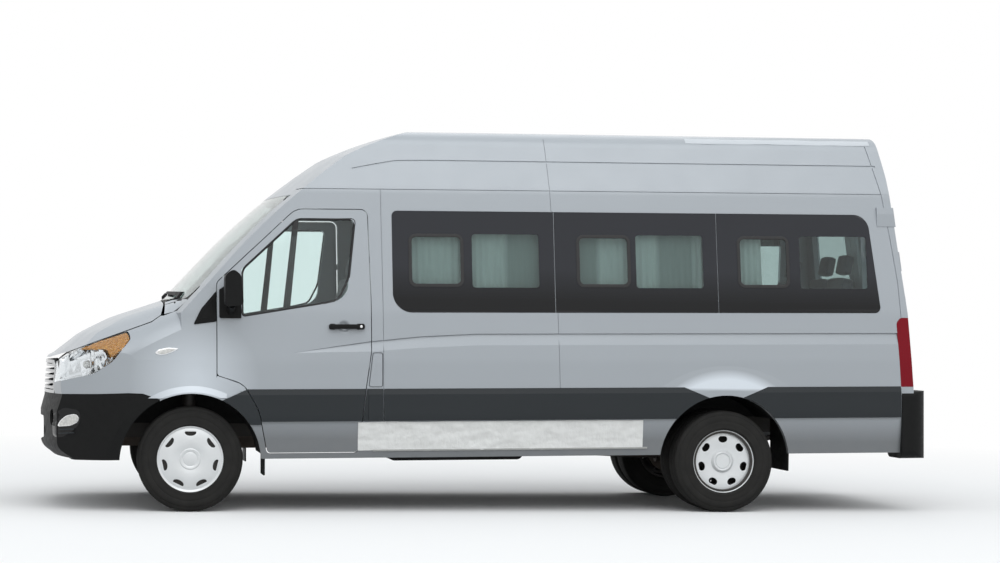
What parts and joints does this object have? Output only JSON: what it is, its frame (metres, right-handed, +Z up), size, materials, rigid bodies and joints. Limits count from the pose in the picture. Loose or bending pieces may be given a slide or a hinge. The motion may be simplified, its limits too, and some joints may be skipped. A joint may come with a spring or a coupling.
{
  "type": "minibus",
  "caption": "High-roof minibus with hinged front doors, twin rear doors, steered front wheels, twin rear wheels, tinted side windows and rows of seats inside.",
  "frame": {"origin": "centre of the footprint at road level, under the middle of the overall length", "axes": "+X towards the tail, -X towards the nose, -Y to the left side of the vehicle, +Z up"},
  "size_m": [5.9921, 2.48, 2.6111],
  "materials": {
    "paint": "satin metallic silver",
    "black_plastic": "grained",
    "grey_plastic": "grained",
    "chrome": "polished",
    "lamp": "clear gloss",
    "red_lamp": "gloss",
    "clear_glass": "clear",
    "dark_glass": "tinted",
    "upholstery": "woven",
    "curtain": "woven",
    "steel": "satin black",
    "iron": "rough",
    "tyre": "rubber",
    "wheel_paint": "silver",
    "rubber": "matte"
  },
  "bodies": {
    "body": {"body_side_left": "paint", "body_side_right": "paint", "cab_frame_left": "paint", "cab_frame_right": "paint", "cab_seats": "upholstery", "chassis_rails": "steel", "cowl_panel": "black_plastic", "curtains": "curtain", "dashboard": "grey_plastic", "engine": "iron", "exhaust": "steel", "fenders": "paint", "floor": "steel", "front_bumper": "black_plastic", "front_lamps": "lamp", "front_subframe": "steel", "fuel_tank": "black_plastic", "grille": "chrome", "leaf_springs": "steel", "mud_flaps": "rubber", "passenger_seats": "upholstery", "rear_axle": "iron", "rear_bumper": "black_plastic", "rear_sill": "paint", "roof_cap": "paint", "seat_bases": "steel", "side_glass": "dark_glass", "side_trim": "black_plastic", "sliding_door": "paint", "struts": "steel", "tail_lamps": "red_lamp", "wheel_houses": "black_plastic", "windshield": "clear_glass"},
    "hood": {"hood": "paint"},
    "fuel_flap": {"fuel_flap": "paint"},
    "steering_wheel": {"steering_wheel": "black_plastic"},
    "tie_rods": {"tie_rods": "steel"},
    "front_door_left": {"front_door_left": "paint", "door_glass_left": "clear_glass", "mirror_left": "black_plastic", "door_trim_left": "black_plastic"},
    "rear_door_left": {"rear_door_left": "paint", "rear_glass_left": "dark_glass"},
    "knuckle_left": {"knuckle_left": "iron"},
    "wheel_front_left": {"front_tyre_left": "tyre", "front_rim_left": "wheel_paint"},
    "wheels_rear_left": {"rear_tyres_left": "tyre", "rear_rims_left": "wheel_paint"},
    "front_door_right": {"front_door_right": "paint", "door_glass_right": "clear_glass", "mirror_right": "black_plastic", "door_trim_right": "black_plastic"},
    "rear_door_right": {"rear_door_right": "paint", "rear_glass_right": "dark_glass"},
    "knuckle_right": {"knuckle_right": "iron"},
    "wheel_front_right": {"front_tyre_right": "tyre", "front_rim_right": "wheel_paint"},
    "wheels_rear_right": {"rear_tyres_right": "tyre", "rear_rims_right": "wheel_paint"}
  },
  "joints": [
    {"name": "front_door_left_hinge", "type": "hinge", "parent": "body", "child": "front_door_left", "pos_m": [-1.86922, -1.037, 0.88893], "axis": [0.0139, -0.0715, -0.9973], "range_deg": [0, 70]},
    {"name": "front_door_right_hinge", "type": "hinge", "parent": "body", "child": "front_door_right", "pos_m": [-1.86922, 1.037, 0.88893], "axis": [-0.0139, -0.0715, 0.9973], "range_deg": [0, 70]},
    {"name": "rear_door_left_hinge", "type": "hinge", "parent": "body", "child": "rear_door_left", "pos_m": [2.83654, -0.9035, 1.40468], "axis": [0.1369, -0.0526, -0.9892], "range_deg": [0, 180]},
    {"name": "rear_door_right_hinge", "type": "hinge", "parent": "body", "child": "rear_door_right", "pos_m": [2.83654, 0.9035, 1.40468], "axis": [-0.1369, -0.0526, 0.9892], "range_deg": [0, 180]},
    {"name": "hood_hinge", "type": "hinge", "parent": "body", "child": "hood", "pos_m": [-2.20418, 0, 1.3853], "axis": [0, 1, 0], "range_deg": [0, 50]},
    {"name": "fuel_flap_hinge", "type": "hinge", "parent": "body", "child": "fuel_flap", "pos_m": [-0.79474, -1.027, 0.93394], "axis": [-0.014, 0, 0.9999], "range_deg": [0, 100]},
    {"name": "steer_left", "type": "hinge", "parent": "body", "child": "knuckle_left", "pos_m": [-2.03, -0.715, 0.342], "axis": [0, 0, 1], "range_deg": [-33, 33]},
    {"name": "steer_right", "type": "hinge", "parent": "body", "child": "knuckle_right", "pos_m": [-2.03, 0.715, 0.342], "axis": [0, 0, 1], "range_deg": [-33, 33]},
    {"name": "steering_wheel_turn", "type": "hinge", "parent": "body", "child": "steering_wheel", "pos_m": [-1.61892, -0.4, 1.22746], "axis": [0.4879, 0, 0.8729], "range_deg": [-528, 528]},
    {"name": "rack_slide", "type": "slide", "parent": "body", "child": "tie_rods", "axis": [0, 1, 0], "range_m": [-0.0811, 0.0811]},
    {"name": "front_wheel_left_spin", "type": "hinge", "parent": "knuckle_left", "child": "wheel_front_left", "pos_m": [-2.03, -0.86, 0.342], "axis": [0, 1, 0], "continuous": true},
    {"name": "rear_wheels_left_spin", "type": "hinge", "parent": "body", "child": "wheels_rear_left", "pos_m": [1.54, -0.772, 0.342], "axis": [0, 1, 0], "continuous": true},
    {"name": "front_wheel_right_spin", "type": "hinge", "parent": "knuckle_right", "child": "wheel_front_right", "pos_m": [-2.03, 0.86, 0.342], "axis": [0, 1, 0], "continuous": true},
    {"name": "rear_wheels_right_spin", "type": "hinge", "parent": "body", "child": "wheels_rear_right", "pos_m": [1.54, 0.772, 0.342], "axis": [0, 1, 0], "continuous": true}
  ],
  "couplings": [
    {"joint": "steer_right", "follows": "steer_left", "ratio": 1},
    {"joint": "steering_wheel_turn", "follows": "steer_left", "ratio": 16},
    {"joint": "rack_slide", "follows": "steer_left", "m_per_rad": 0.14}
  ]
}
